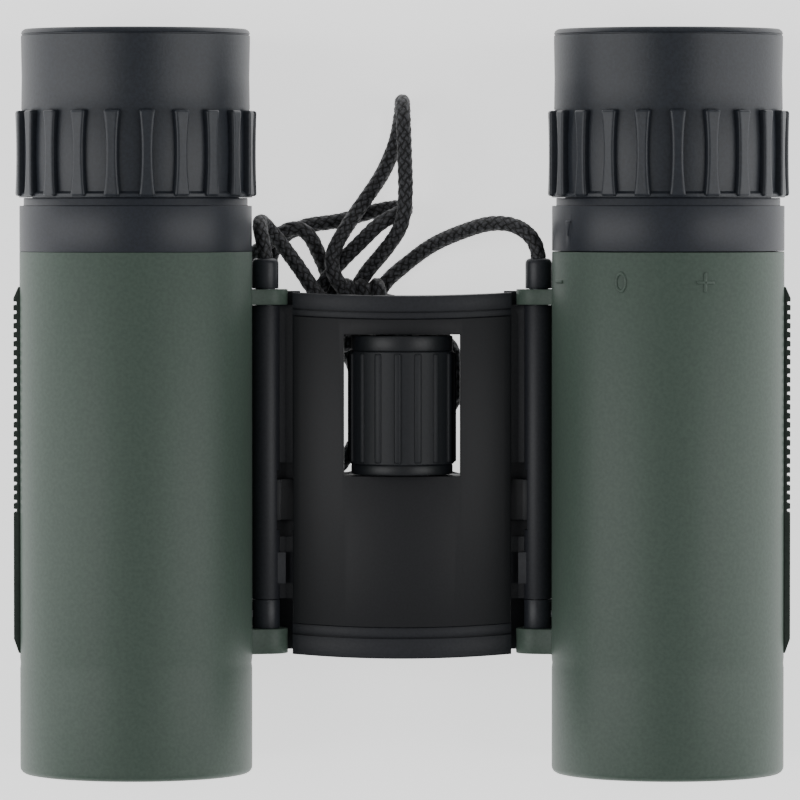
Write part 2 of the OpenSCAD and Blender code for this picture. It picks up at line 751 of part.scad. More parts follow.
module wheel_grip() {
    y0 = wheel_y0 + collar_front;
    y1 = wheel_y1 - collar_rear;
    color(rubber) translate([0, 0, hinge_z]) union() {
        bar(y0, y1, wheel_r - wheel_rib_h, core_r);
        for (i = [0:wheel_ribs - 1]) rotate([0, i * 360 / wheel_ribs - 4.7, 0])
            block([-wheel_rib_w / 2, y0 + 0.05, wheel_r - 0.7],
                [wheel_rib_w / 2, y1 - 0.05, wheel_r - 0.02]);
    }
}

module focus_screw() {
    color(steel) translate([0, 0, hinge_z]) bar(beam_y0 - 2, y_win1 + 3.4, screw_r);
}

module focus_yoke() {
    end_x = hinge_x - 0.2;
    color(black) difference() {
        union() {
            block([-nut_x, beam_y0, hinge_z - nut_h / 2], [nut_x, beam_y1, hinge_z + nut_h / 2]);
            block([free_gap - chamber_x, beam_y0, arm_z0], [chamber_x - free_gap, beam_y1, arm_z1]);
            for (side = [-1, 1]) sided(side) {
                block([arm_in, arm_y0, arm_z0], [end_x, arm_y1, arm_z1]);
                block([end_x - boss_w, arm_y0, arm_z0], [end_x, arm_y1, boss_z1]);
            }
        }
        translate([0, 0, hinge_z]) bar(beam_y0 - 1, beam_y1 + 1, screw_r + run_gap);
        for (side = [-1, 1]) sided(side) at_hinge() bar(arm_y0 - 1, arm_y1 + 1, rod_r);
    }
}

module focus_rod(side) {
    g0 = tongue_y - tongue_t / 2 - run_gap;
    g1 = tongue_y + tongue_t / 2 + run_gap;
    color(steel) sided(side) at_hinge() spun([[0, rod_y0], [rod_r, rod_y0], [rod_r, g0],
        [groove_r, g0], [groove_r, g1], [rod_r, g1], [rod_r, rod_y1], [0, rod_y1]]);
}

// ---------- Strap ----------

module cord_tube(route) {
    sides = 8;
    last = len(route) - 1;
    u = sideways(route);
    points = [
        for (i = [0:last], k = [0:sides - 1])
            let (w = cross(tangent(route, i), u[i]), a = k * 360 / sides)
            route[i] + cord_r * (cos(a) * u[i] + sin(a) * w)
    ];
    walls = [
        for (i = [0:last - 1], k = [0:sides - 1])
            let (a = i * sides, next = (k + 1) % sides)
            [a + k, a + sides + k, a + sides + next, a + next]
    ];
    polyhedron(points, concat([[for (k = [0:sides - 1]) k]], walls,
        [[for (k = [sides - 1:-1:0]) last * sides + k]]), convexity = 10);
}

module strap_left_run() {
    color("#1c1c1e") cord_tube(left_route);
}

module strap_right_run() {
    color("#1c1c1e") cord_tube(right_route);
}

module strap_knot() {
    color("#1c1c1e") translate(knot_at) hull() for (s = [-1, 1])
        translate([s * knot_half, 0, 0]) sphere(knot_r);
}

module strap_hank() {
    color("#1c1c1e") translate([0, hank_y, tie_t]) linear_extrude(hank_h) union() {
        translate([-hank_half, -hank_w]) square([2 * hank_half, 2 * hank_w]);
        for (x = [-hank_half, hank_half]) translate([x, 0]) circle(hank_w);
    }
}

module strap_tie() {
    y = hank_w + tie_t;
    color(black) translate([0, hank_y, 0]) difference() {
        block([-tie_w / 2, -y, 0], [tie_w / 2, y, hank_h + 2 * tie_t]);
        block([-tie_w, -hank_w, tie_t], [tie_w, hank_w, hank_h + tie_t]);
    }
}

bridge_frame();
cover_plate();
underside_cover();
cover_screws();
hinge_sleeve(-1);  // left_hinge_sleeve
hinge_sleeve(1);  // right_hinge_sleeve
hinge_post(-1);  // left_hinge_post
hinge_post(1);  // right_hinge_post
wheel_hub();
wheel_grip();
focus_screw();
focus_yoke();
focus_rod(-1);  // left_focus_rod
focus_rod(1);  // right_focus_rod
barrel_shell(-1);  // left_barrel_shell
barrel_shell(1);  // right_barrel_shell
side_grip(-1);  // left_side_grip
side_grip(1);  // right_side_grip
hinge_bush(-1);  // left_hinge_bush
hinge_bush(1);  // right_hinge_bush
objective_bezel(-1);  // left_objective_bezel
objective_bezel(1);  // right_objective_bezel
prism_holder(-1);  // left_prism_holder
prism_holder(1);  // right_prism_holder
roof_prism(-1);  // left_roof_prism
roof_prism(1);  // right_roof_prism
half_prism(-1);  // left_half_prism
half_prism(1);  // right_half_prism
prism_clip(-1);  // left_prism_clip
prism_clip(1);  // right_prism_clip
objective_cell(-1);  // left_objective_cell
objective_cell(1);  // right_objective_cell
crown_lens(-1);  // left_crown_lens
crown_lens(1);  // right_crown_lens
flint_lens(-1);  // left_flint_lens
flint_lens(1);  // right_flint_lens
lock_ring(-1);  // left_lock_ring
lock_ring(1);  // right_lock_ring
follower(-1);  // left_follower
follower(1);  // right_follower
eyepiece_tube(-1);  // left_eyepiece_tube
eyepiece_tube(1);  // right_eyepiece_tube
eyepiece_ring(-1);  // left_eyepiece_ring
eyepiece_ring(1);  // dioptre_ring
eyecup(-1);  // left_eyecup
eyecup(1);  // right_eyecup
ocular_cell(-1);  // left_ocular_cell
ocular_cell(1);  // right_ocular_cell
cam_pin();
field_lens(-1);  // left_field_lens
field_lens(1);  // right_field_lens
eye_lens(-1);  // left_eye_lens
eye_lens(1);  // right_eye_lens
ocular_ring(-1);  // left_ocular_ring
ocular_ring(1);  // right_ocular_ring
strap_left_run();
strap_right_run();
strap_knot();
strap_hank();
strap_tie();
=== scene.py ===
import math

import bpy
from mathutils import Matrix, Vector


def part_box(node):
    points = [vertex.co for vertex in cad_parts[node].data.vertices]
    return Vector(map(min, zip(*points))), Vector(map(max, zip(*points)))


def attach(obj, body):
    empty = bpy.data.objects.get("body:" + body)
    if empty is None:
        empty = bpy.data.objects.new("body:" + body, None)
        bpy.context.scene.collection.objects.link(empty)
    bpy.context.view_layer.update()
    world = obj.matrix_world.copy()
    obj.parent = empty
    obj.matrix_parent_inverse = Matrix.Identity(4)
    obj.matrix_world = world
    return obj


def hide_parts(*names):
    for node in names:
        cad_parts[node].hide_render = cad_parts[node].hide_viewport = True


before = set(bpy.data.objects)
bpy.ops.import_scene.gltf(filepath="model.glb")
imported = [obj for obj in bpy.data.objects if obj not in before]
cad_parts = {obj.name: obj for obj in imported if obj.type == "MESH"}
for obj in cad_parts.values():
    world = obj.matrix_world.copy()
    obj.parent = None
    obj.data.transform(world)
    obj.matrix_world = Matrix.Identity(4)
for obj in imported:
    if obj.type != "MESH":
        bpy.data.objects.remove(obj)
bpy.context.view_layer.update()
MM = 0.001

# ---------- Camera ----------
# The pair is seen from straight above, from about 0.9 m, a little nearer to its eyepieces
# than to its middle, so that the camera leans by two degrees to keep the pair centred.
aim_x, aim_y, aim_z = -0.28, 0.2, 17.2
height, past_middle, view_width = 900, 28.4, 113.7
bpy.ops.object.camera_add(
    location=(aim_x * MM, (aim_y + past_middle) * MM, (aim_z + height) * MM),
    rotation=(-math.atan2(past_middle, height), 0, 0),
)
camera = bpy.context.object
camera.data.sensor_width = 36
camera.data.lens = camera.data.sensor_width * math.hypot(height, past_middle) / view_width
camera.data.clip_start, camera.data.clip_end = 0.05, 20
bpy.context.scene.camera = camera


# ---------- Neck cord ----------
# A braided polyester cord, 2.1 mm thick. Each end is glued into the post on top of a hinge.
# Slack loops lie behind the bridge, a knot ties them, and the rest is wound flat under it.
def linear(code):
    """The linear colour of an sRGB hex value."""
    parts = [int(code[i : i + 2], 16) / 255 for i in (1, 3, 5)]
    return [c / 12.92 if c <= 0.04045 else ((c + 0.055) / 1.055) ** 2.4 for c in parts] + [1]


def add(tree, kind, inputs=None, **settings):
    """Adds a node. Its inputs take numbers, colours or another node's output socket."""
    new = tree.nodes.new(kind)
    for key, value in settings.items():
        setattr(new, key, value)
    for key, value in (inputs or {}).items():
        if isinstance(value, bpy.types.NodeSocket):
            tree.links.new(value, new.inputs[key])
        else:
            new.inputs[key].default_value = value
    return new


def material(name, colour, **values):
    """A new material. Returns it, its node tree and its shader, with plain values set."""
    made = bpy.data.materials.new(name)
    made.use_nodes = True
    shader = made.node_tree.nodes["Principled BSDF"]
    shader.inputs["Base Color"].default_value = linear(colour)
    for key, value in values.items():
        shader.inputs[key.replace("_", " ")].default_value = value
    made.diffuse_color = linear(colour)
    return made, made.node_tree, shader


def wire(tree, source, socket):
    tree.links.new(source, socket)


# Braided polyester: yarns cross in a basket weave. Its colour has painted shade, near black, in the
# hollows between them and painted highlights along their crests, under a soft sheen from the shader.
# The fibres are drawn coarser than real ones, to show.
braid, tree, shader = material("braided_polyester", "#17171a", Roughness=0.62, IOR=1.5)
shader.inputs["Sheen Weight"].default_value = 0.25
shader.inputs["Sheen Roughness"].default_value = 0.4
weave = add(tree, "ShaderNodeSeparateXYZ", {0: add(tree, "ShaderNodeUVMap").outputs[0]})
crests = []
for side in ("X", "Y"):
    turn = add(tree, "ShaderNodeMath", {0: weave.outputs[side], 1: math.pi}, operation="MULTIPLY")
    wave = add(tree, "ShaderNodeMath", {0: turn.outputs[0]}, operation="SINE")
    crests.append(add(tree, "ShaderNodeMath", {0: wave.outputs[0]}, operation="ABSOLUTE"))
over = add(
    tree, "ShaderNodeTexChecker", {"Vector": add(tree, "ShaderNodeUVMap").outputs[0], "Scale": 1.0}
)
yarn = add(
    tree,
    "ShaderNodeMix",
    {0: over.outputs["Fac"], 2: crests[0].outputs[0], 3: crests[1].outputs[0]},
)
fibres = add(
    tree,
    "ShaderNodeTexNoise",
    {"Vector": add(tree, "ShaderNodeTexCoord").outputs["Object"], "Scale": 1 / (0.38 * MM), "Detail": 3.0},
)
tone = add(
    tree,
    "ShaderNodeMath",
    {0: yarn.outputs[0], 1: fibres.outputs["Fac"]},
    operation="MULTIPLY",
)
# Painted shade and painted highlight: the weave's hollows are coloured near black and its crests light
painted_shade_and_highlight = add(tree, "ShaderNodeValToRGB", {"Fac": tone.outputs[0]})
painted_shade_and_highlight.color_ramp.elements[0].color = linear("#060607")
painted_shade_and_highlight.color_ramp.elements[0].position = 0.2
painted_shade_and_highlight.color_ramp.elements[1].color = linear("#5c5d62")
painted_shade_and_highlight.color_ramp.elements[1].position = 0.68
wire(tree, painted_shade_and_highlight.outputs[0], shader.inputs["Base Color"])
bump = add(tree, "ShaderNodeBump", {"Height": tone.outputs[0], "Strength": 0.7, "Distance": 0.0002})
wire(tree, bump.outputs[0], shader.inputs["Normal"])

cord_d, yarn_turns, yarn_pitch = 2.1, 6, 1.5
yarn_low, yarn_rise = 0.13, 0.2  # how far the hollows lie in, and how high a yarn's crest is
point_step = 0.36


def smooth_route(points):
    """Closely spaced points along a smooth curve through the given points."""
    p = [Vector(q) for q in points]
    p = [2 * p[0] - p[1]] + p + [2 * p[-1] - p[-2]]
    out = []
    for a, b, c, d in zip(p, p[1:], p[2:], p[3:]):
        ab, bc, cd = (math.sqrt((q - o).length) for o, q in ((a, b), (b, c), (c, d)))
        leave = ((b - a) / ab - (c - a) / (ab + bc) + (c - b) / bc) * bc
        arrive = ((c - b) / bc - (d - b) / (bc + cd) + (d - c) / cd) * bc
        count = max(1, round((c - b).length / point_step))
        for i in range(count):
            t = i / count
            rise = t * t * (3 - 2 * t)
            out.append(
                b + rise * (c - b) + t * (1 - t) ** 2 * leave - t**2 * (1 - t) * arrive
            )
    return out + [p[-2]]


def ease(line, rounds):
    """Opens a line's tight bends a little, as a cord's own stiffness does."""
    for _ in range(rounds):
        middle = [(a + 2 * b + c) / 4 for a, b, c in zip(line[1:], line[2:], line[3:])]
        line = line[:2] + middle + line[-2:]
    return line


def braided_tube(name, centre, sides=24):
    """A braided cord as a mesh tube along closely spaced points in mm. Its UV follows the yarns."""
    mesh = bpy.data.meshes.new(name)
    piece = bpy.data.objects.new(name, mesh)
    bpy.context.collection.objects.link(piece)
    verts, places, along = [], [], 0.0
    ahead = (centre[1] - centre[0]).normalized()
    side = ahead.orthogonal().normalized()
    for i, point in enumerate(centre):
        new = (centre[min(i + 1, len(centre) - 1)] - centre[max(i - 1, 0)]).normalized()
        side = (side - side.dot(new) * new).normalized()
        up = new.cross(side)
        if i:
            along += (point - centre[i - 1]).length
        places.append(along / yarn_pitch)
        for k in range(sides):
            a, b = places[-1] + k * yarn_turns / sides, places[-1] - k * yarn_turns / sides
            crest = abs(math.sin(math.pi * (a if (math.floor(a) + math.floor(b)) % 2 else b)))
            r = cord_d / 2 - yarn_low + yarn_rise * crest
            turn = 2 * math.pi * k / sides
            verts.append((point + r * (math.cos(turn) * side + math.sin(turn) * up)) * MM)
    faces = [
        (i * sides + k, i * sides + (k + 1) % sides,
         (i + 1) * sides + (k + 1) % sides, (i + 1) * sides + k)
        for i in range(len(centre) - 1)
        for k in range(sides)
    ]
    last = (len(centre) - 1) * sides
    caps = [tuple(reversed(range(sides))), tuple(last + k for k in range(sides))]
    mesh.from_pydata(verts, [], faces + caps)
    layer = mesh.uv_layers.new(name="UVMap")
    for f in range(len(faces)):
        i, k = divmod(f, sides)
        for corner, (di, dk) in enumerate(((0, 0), (0, 1), (1, 1), (1, 0))):
            s, v = places[i + di], (k + dk) * yarn_turns / sides
            layer.data[f * 4 + corner].uv = (s + v, s - v)
    mesh.polygons.foreach_set("use_smooth", [True] * len(mesh.polygons))
    mesh.materials.append(braid)
    return piece


left_route = [
    (-19.5, 18.6, 13.2), (-19.6, 21.6, 13.2), (-20.2, 24.2, 12.2), (-20.3, 25.6, 9.8),
    (-19.6, 25, 7.2), (-17.8, 22.9, 6), (-14.6, 18.6, 5.9), (-11.6, 14.4, 6.8),
    (-7.4, 12.2, 6.9), (-2, 11.8, 5.4), (3.2, 10.6, 3), (6.9, 7.6, 1.5),
    (8.3, 3.6, 1.1), (7.6, -0.4, 1.1), (4.8, -3.4, 1.3), (3.4, -6.6, 1.5),
    (4.4, -9.6, 1.5), (6, -11.5, 1.5),
]
right_route = [
    (-13.6, -14.6, 3.6), (-8.4, -9, 2.8), (-5.5, -3.4, 1.3), (-6, 2, 1.1),
    (-8.4, 8.2, 1.1), (-10, 14, 1.05), (-10.9, 18.3, 1.05), (-12.3, 21.4, 2.2),
    (-13.4, 23.7, 3.3), (-15.3, 24.8, 3.4), (-17.4, 23.8, 3.4), (-20.6, 21.5, 2.9),
    (-24.4, 18.2, 1.3), (-26.7, 14.8, 1.1), (-26.4, 11.2, 1.1), (-23.6, 9.1, 1.1),
    (-20.6, 10.4, 1.1), (-19.6, 14, 1.1), (-19.3, 18.6, 1.1), (-18, 22.6, 1.1),
    (-14.6, 24.7, 1.1), (-9, 25.6, 1.1), (-4, 27, 1.1), (-0.6, 27.6, 2.4),
    (0.8, 27.3, 4.6), (-0.4, 26.7, 6.8), (-3, 25.4, 7.1), (-6, 22.5, 5.1),
    (-9, 19.5, 3.3), (-11.6, 16.2, 3.2), (-13.2, 12.4, 3.2), (-12.2, 8.8, 3.2),
    (-9.4, 7.4, 3.2), (-6.6, 8.8, 3.4), (-6.2, 12, 3.9), (-8, 15.2, 4.8),
    (-9.9, 18, 5.5), (-10, 20.8, 5.4), (-8.3, 24.2, 4.4), (-5.7, 28.1, 3),
    (-2.7, 32.6, 1.3), (-0.9, 37, 1.1), (-0.2, 40.4, 1.6), (0, 42.6, 3.8),
    (0.1, 42.6, 6.8), (0.2, 40.2, 9), (0.4, 34.5, 9.6), (0.5, 29.4, 9.6),
    (-0.1, 25, 8.7), (-2.6, 21.2, 6.1), (-5.4, 17.8, 3.4), (-7.3, 13.8, 1.7),
    (-6.9, 10.8, 1.1), (-5.2, 8.5, 1.1), (-2.9, 9, 1.1), (-2.6, 11.8, 1.1),
    (-3.6, 14.2, 1.1), (-2.4, 16.7, 1.2), (0.2, 19, 1.4), (4, 21.9, 2.8),
    (8.5, 24, 6), (13, 25.3, 9.6), (16.4, 24.9, 11.8), (18.8, 23, 13),
    (19.5, 20.8, 13.2), (19.5, 18.6, 13.2),
]


half_run, hank_y, arc_step, leaves_at = 6, -22.2, 22.5, -225  # the hank's straights and ends


def hank_turn(r_in, r_out, z_in, z_out, final=False):
    """Points of one clockwise turn of the hank, from its straight's right end round to it."""
    out = []
    for centre, start in ((half_run, 90), (-half_run, -90)):
        for i in range(9):
            angle = start - arc_step * i
            if final and centre < 0 and angle <= leaves_at:
                return out
            a = math.radians(angle)
            out.append((centre + r_in * math.cos(a), hank_y + r_in * math.sin(a), z_in))
        if centre > 0:
            out.append((0, hank_y - r_in, z_in))
    for x in (-3, 0, 3):
        t = (x + half_run) / (2 * half_run)
        out.append((x, hank_y + r_in + (r_out - r_in) * t, z_in + (z_out - z_in) * t))
    return out


# The lower layer is wound inwards, and the upper one back outwards on top of it
radii = [10.7, 8.6, 6.5, 4.4]
lower, upper = 1.5, 3.6
hank = []
for r, after in zip(radii, radii[1:] + radii[-1:]):
    hank += hank_turn(r, after, lower, upper if r == radii[-1] else lower)
for r, after in zip(radii[::-1], radii[-2::-1] + radii[:1]):
    hank += hank_turn(r, after, upper, upper, final=r == radii[0])
cord_line = ease(smooth_route(left_route[:-1] + hank + right_route), 16)
strap = braided_tube("neck_cord", cord_line)

# The knot: a stopper of three tight turns, drawn up round the strands
knot_x, knot_y, knot_z, knot_len = -8.9, 14.2, 3.4, 7.0
knot_line = [(-9.2, 13.0, 1.5)]
for i in range(40):
    t = i / 39
    turn = math.radians(30 * i - 160)
    wrap = 2.05 + 0.15 * math.sin(math.pi * t)
    knot_line.append(
        (knot_x + knot_len * t, knot_y + wrap * math.cos(turn), knot_z + wrap * math.sin(turn))
    )
knot = braided_tube("neck_cord_knot", smooth_route(knot_line))
for piece in (strap, knot):
    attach(piece, "bridge")
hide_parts("strap_left_run", "strap_right_run", "strap_hank")
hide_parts("strap_knot")


# ---------- Barrel shells ----------
# Drawn aluminium tubes with cast hinge ears, sprayed with a soft-touch army green lacquer.
def finish_node(node, body, look, edge=0.12):
    """A copy of a CAD node with its loose triangles merged and its edges rounded."""
    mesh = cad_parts[node].data.copy()
    piece = bpy.data.objects.new(node + "_finished", mesh)
    bpy.context.collection.objects.link(piece)
    mesh.materials.clear()
    mesh.materials.append(look)
    bpy.ops.object.select_all(action="DESELECT")
    piece.select_set(True)
    bpy.context.view_layer.objects.active = piece
    if mesh.has_custom_normals:
        bpy.ops.mesh.customdata_custom_splitnormals_clear()
    bpy.ops.object.mode_set(mode="EDIT")
    bpy.ops.mesh.select_all(action="SELECT")
    bpy.ops.mesh.remove_doubles(threshold=0.000002)
    bpy.ops.mesh.dissolve_limited(angle_limit=math.radians(0.5))
    bpy.ops.object.mode_set(mode="OBJECT")
    if edge:
        bevel = piece.modifiers.new("edges", "BEVEL")
        bevel.width = edge * MM
        bevel.segments = 2
        bevel.limit_method = "ANGLE"
        bevel.angle_limit = math.radians(35)
        bpy.ops.object.modifier_apply(modifier=bevel.name)
    bpy.ops.object.shade_smooth_by_angle(angle=math.radians(32))
    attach(piece, body)
    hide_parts(node)
    return piece


def grain(tree, shader, size, strength, distance):
    """Fine bumps over a surface, size mm across and distance mm high."""
    noise = add(
        tree,
        "ShaderNodeTexNoise",
        {
            "Vector": add(tree, "ShaderNodeTexCoord").outputs["Object"],
            "Scale": 1 / (size * MM),
            "Detail": 4.0,
        },
    )
    bumps = add(
        tree,
        "ShaderNodeBump",
        {"Height": noise.outputs["Fac"], "Strength": strength, "Distance": distance * MM},
    )
    wire(tree, bumps.outputs[0], shader.inputs["Normal"])
    return noise


def mottle(tree, shader, dark, light, noise):
    """The colour drifts between two tones with a noise."""
    tones = add(tree, "ShaderNodeValToRGB", {"Fac": noise.outputs["Fac"]})
    tones.color_ramp.elements[0].color = linear(dark)
    tones.color_ramp.elements[0].position = 0.35
    tones.color_ramp.elements[1].color = linear(light)
    tones.color_ramp.elements[1].position = 0.65
    wire(tree, tones.outputs[0], shader.inputs["Base Color"])


# The lacquer has a fine orange peel, coarser here than in life so that it shows, and a broad
# satin sheen down each side
lacquer, tree, shader = material("soft_touch_green_lacquer", "#47564d", Roughness=0.46, IOR=1.42)
peel = grain(tree, shader, 0.45, 0.25, 0.04)
mottle(tree, shader, "#4a5950", "#516157", peel)
for side, body in (("left", "left_barrel"), ("right", "right_barrel")):
    finish_node(f"{side}_barrel_shell", body, lacquer, edge=0.15)

# ---------- Side grips ----------
# Thermoplastic rubber strips, moulded over the outer side of each barrel and ribbed across
# for half their length. The rubber is a shade darker than the lacquer and quite matt, so the
# grooves read as plain dark lines.
grip_rubber, tree, shader = material("dark_green_thermoplastic_rubber", "#2f3a34", Roughness=0.7)
mottle(tree, shader, "#2b352f", "#344039", grain(tree, shader, 0.33, 0.3, 0.05))
for side, body in (("left", "left_barrel"), ("right", "right_barrel")):
    finish_node(f"{side}_side_grip", body, grip_rubber, edge=0.1)


# ---------- Dioptre marks ----------
# The scale beside the dioptre ring is moulded in low relief on the right barrel and painted
# over with the same lacquer: a minus, a nought and a plus.
def bar_mesh(name, size, radius=0.12):
    """A small rounded block at the origin, size in mm."""
    bpy.ops.object.select_all(action="DESELECT")
    bpy.ops.mesh.primitive_cube_add(size=1)
    piece = bpy.context.object
    piece.name = name
    bpy.ops.object.mode_set(mode="EDIT")
    bpy.ops.mesh.select_all(action="SELECT")
    bpy.ops.transform.resize(value=tuple(s * MM for s in size))
    bpy.ops.mesh.bevel(offset=radius * MM, segments=3, affect="EDGES")
    bpy.ops.object.mode_set(mode="OBJECT")
    return piece


def join(pieces, name):
    """Joins pieces into the first one."""
    bpy.ops.object.select_all(action="DESELECT")
    for piece in pieces:
        piece.select_set(True)
    bpy.context.view_layer.objects.active = pieces[0]
    if len(pieces) > 1:
        bpy.ops.object.join()
    pieces[0].name = name
    return pieces[0]


def settle(piece, matrix, look):
    """Puts a piece's place into its mesh, and gives it its material and smooth sides."""
    piece.data.transform(matrix)
    piece.data.materials.clear()
    piece.data.materials.append(look)
    bpy.ops.object.select_all(action="DESELECT")
    piece.select_set(True)
    bpy.context.view_layer.objects.active = piece
    bpy.ops.object.shade_smooth_by_angle(angle=math.radians(35))
    return piece


lens_low, lens_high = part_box("right_eye_lens")
barrel_x, barrel_z = (round((lens_low[i] + lens_high[i]) / 2 / MM, 2) for i in (0, 2))
barrel_r = 16.5


def round_barrel(side, angle, radius, y):
    """From the origin, with +Z outwards, to a place round a barrel. Angle 0 is on top."""
    axis = Vector((barrel_x * side, y, barrel_z)) * MM
    return (
        Matrix.Translation(axis)
        @ Matrix.Rotation(math.radians(angle), 4, "Y")
        @ Matrix.Translation((0, 0, radius * MM))
    )


marks, marks_y = [], 17.1
for sign, angle in (("minus", -71), ("nought", -26), ("plus", 16)):
    if sign == "nought":
        bpy.ops.object.select_all(action="DESELECT")
        bpy.ops.mesh.primitive_torus_add(
            major_segments=32, minor_segments=10, major_radius=1.05 * MM, minor_radius=0.24 * MM
        )
        mark = bpy.context.object
        mark.data.transform(Matrix.Diagonal((0.66, 1.2, 0.8, 1)))
    else:
        mark = bar_mesh("mark", (2.6, 0.5, 0.36))
        if sign == "plus":
            mark = join([mark, bar_mesh("upright", (0.5, 2.8, 0.36))], "mark")
    marks.append(settle(mark, round_barrel(1, angle, barrel_r, marks_y), lacquer))
marks = join(marks, "dioptre_marks")
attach(marks, "right_barrel")

# ---------- Eyepiece rings ----------
# Turned ABS rings between the shells and the eyecups. The right one is the dioptre ring,
# with a raised triangle that points at the scale. Turned ABS is smooth and a little glossy, with
# a faint grain.
ring_plastic, tree, shader = material("turned_black_abs", "#2a2e35", Roughness=0.42, IOR=1.46)
mottle(tree, shader, "#272b32", "#2d313a", grain(tree, shader, 0.38, 0.2, 0.04))
finish_node("left_eyepiece_ring", "left_barrel", ring_plastic)
finish_node("dioptre_ring", "dioptre", ring_plastic)


# ---------- Eyecups ----------
# Moulded rubber sleeves over the eyepieces. Each has a rolled lip with a fine line under it,
# a slight waist, and 21 grip ribs that are narrower at their middles than at their ends.
def lathe(name, outline, x, z, look):
    """Turns a closed outline of (radius, y) in mm round the axis along Y through (x, z)."""
    bpy.ops.object.select_all(action="DESELECT")
    bpy.ops.mesh.primitive_plane_add(size=0.001)
    piece = bpy.context.object
    piece.name = name
    bpy.ops.object.mode_set(mode="EDIT")
    bpy.ops.mesh.select_all(action="SELECT")
    bpy.ops.mesh.merge(type="CENTER")
    r, y = outline[0]
    bpy.ops.transform.translate(value=((x + r) * MM, y * MM, z * MM))
    for (r0, y0), (r1, y1) in zip(outline, outline[1:] + outline[:1]):
        bpy.ops.mesh.extrude_region_move(
            TRANSFORM_OT_translate={"value": ((r1 - r0) * MM, (y1 - y0) * MM, 0)}
        )
    bpy.ops.mesh.select_all(action="SELECT")
    bpy.ops.mesh.remove_doubles(threshold=0.000002)
    bpy.ops.mesh.spin(
        steps=128, angle=2 * math.pi, center=(x * MM, 0, z * MM), axis=(0, 1, 0)
    )
    bpy.ops.mesh.select_all(action="SELECT")
    bpy.ops.mesh.remove_doubles(threshold=0.000002)
    bpy.ops.mesh.normals_make_consistent(inside=False)
    bpy.ops.object.mode_set(mode="OBJECT")
    return settle(piece, Matrix.Identity(4), look)


rib_count, rib_width, rib_len, rib_y = 21, 2.35, 12.1, 35.2
rib_top, rib_waist = 17.15, 0.68


def dog_bone():
    """One grip rib of an eyecup, lying along Y at the origin, with its top at z = 0."""
    bpy.ops.object.select_all(action="DESELECT")
    bpy.ops.mesh.primitive_grid_add(x_subdivisions=4, y_subdivisions=8, size=1)
    rib = bpy.context.object
    bpy.ops.object.mode_set(mode="EDIT")
    bpy.ops.mesh.select_all(action="SELECT")
    bpy.ops.transform.resize(value=(rib_width * MM, rib_len * MM, 1))
    bpy.ops.mesh.extrude_region_move(TRANSFORM_OT_translate={"value": (0, 0, -1.7 * MM)})
    bpy.ops.mesh.select_all(action="SELECT")
    bpy.ops.mesh.normals_make_consistent(inside=False)
    bpy.ops.object.mode_set(mode="OBJECT")
    for vertex in rib.data.vertices:
        t = abs(vertex.co.y) / (rib_len / 2 * MM)
        vertex.co.x *= rib_waist + (1 - rib_waist) * t**2.2
        vertex.co.z -= 0.1 * MM * (1 - t**2)
    bevel = rib.modifiers.new("edges", "BEVEL")
    bevel.width, bevel.segments = 0.38 * MM, 4
    bevel.limit_method, bevel.angle_limit = "ANGLE", math.radians(50)
    bpy.context.view_layer.objects.active = rib
    bpy.ops.object.modifier_apply(modifier=bevel.name)
    return rib


# Moulded rubber: a matt skin with a grain, which throws broad soft lights off the cup's sides
cup_rubber, tree, shader = material("moulded_black_rubber", "#262a31", Roughness=0.42, IOR=1.5)
mottle(tree, shader, "#23272e", "#2b3038", grain(tree, shader, 0.42, 0.35, 0.05))
for side, body, node, phase in (
    (-1, "left_barrel", "left_eyecup", 7.9),
    (1, "dioptre", "right_eyecup", 2.2),
):
    cup = lathe(
        node + "_sleeve",
        [
            (14.6, 28.95), (16.45, 28.95), (16.6, 29.1), (16.6, 29.5), (16.15, 29.85), (16.1, 30.6),
            (16.1, 41.2), (16.22, 41.5), (16.15, 46), (16.25, 51.0), (16.25, 51.85), (16.12, 51.95),
            (16.12, 52.05), (16.25, 52.15), (16.1, 52.55), (15.75, 52.8), (15.1, 52.78),
            (14.6, 52.5), (14.35, 52.1), (14.35, 46.5), (14.6, 46.5),
        ],
        barrel_x * side,
        barrel_z,
        cup_rubber,
    )
    ribs = []
    pattern = dog_bone()
    for i in range(rib_count):
        copy = pattern.copy()
        copy.data = pattern.data.copy()
        bpy.context.collection.objects.link(copy)
        place = round_barrel(side, phase + 360 / rib_count * i, rib_top, rib_y)
        ribs.append(settle(copy, place, cup_rubber))
    bpy.data.objects.remove(pattern)
    cup = join([cup] + ribs, node + "_rubber")
    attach(cup, body)
    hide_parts(node)

# ---------- Bridge ----------
# A die-cast frame with a hinge tube down each side, an arched steel cover plate let into it,
# and a screwed cover underneath. The frame's powder coat is satin, with a faint grain that
# softens its lights; the two covers have a flatter spray paint, so they read as plain sheets.
powder, tree, shader = material("satin_black_powder_coat", "#26282e", Roughness=0.5, IOR=1.5)
mottle(tree, shader, "#22242a", "#2a2c32", grain(tree, shader, 0.38, 0.3, 0.04))
sheet_paint, tree, shader = material("matt_black_plate_paint", "#1b1c20", Roughness=0.5, IOR=1.5)
mottle(tree, shader, "#191a1e", "#1e1f23", grain(tree, shader, 0.31, 0.22, 0.03))
finish_node("bridge_frame", "bridge", powder, edge=0.1)
finish_node("cover_plate", "bridge", sheet_paint, edge=0.08)
finish_node("underside_cover", "bridge", sheet_paint, edge=0.15)

